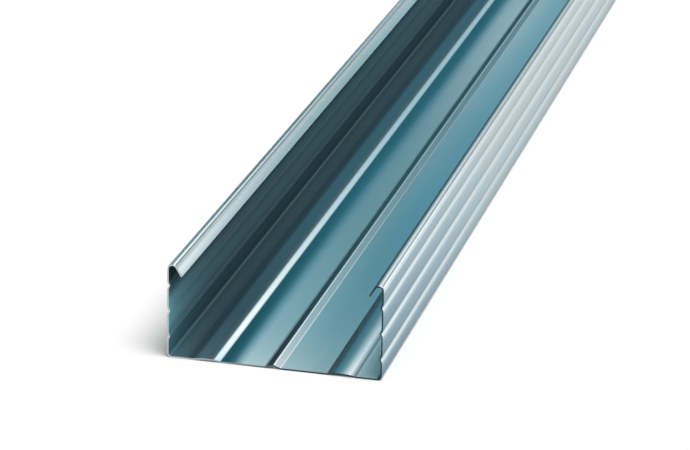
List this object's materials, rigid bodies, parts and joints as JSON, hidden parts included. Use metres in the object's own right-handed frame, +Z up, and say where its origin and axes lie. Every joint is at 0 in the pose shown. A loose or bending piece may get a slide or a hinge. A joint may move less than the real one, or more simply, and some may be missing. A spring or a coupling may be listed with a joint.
{
  "type": "ceiling furring channel",
  "caption": "Roll-formed zinc-coated steel channel of shallow C section with a ribbed web, grooved flanges and in-turned lips, hung open side up to carry ceiling boards.",
  "frame": {"origin": "underside of the web, half way across it and half way along the stock", "axes": "+Y along the stock, away from the end in the picture; +Z up, out of the open side; X across the web"},
  "size_m": [0.06, 3, 0.027],
  "materials": {
    "galvanised_sheet": "hot-dip zinc-coated strip, skin-passed and oiled, blue-grey with a soft gloss; ends sheared bare"
  },
  "bodies": {
    "root": {"furring_channel": "galvanised_sheet"}
  },
  "joints": []
}
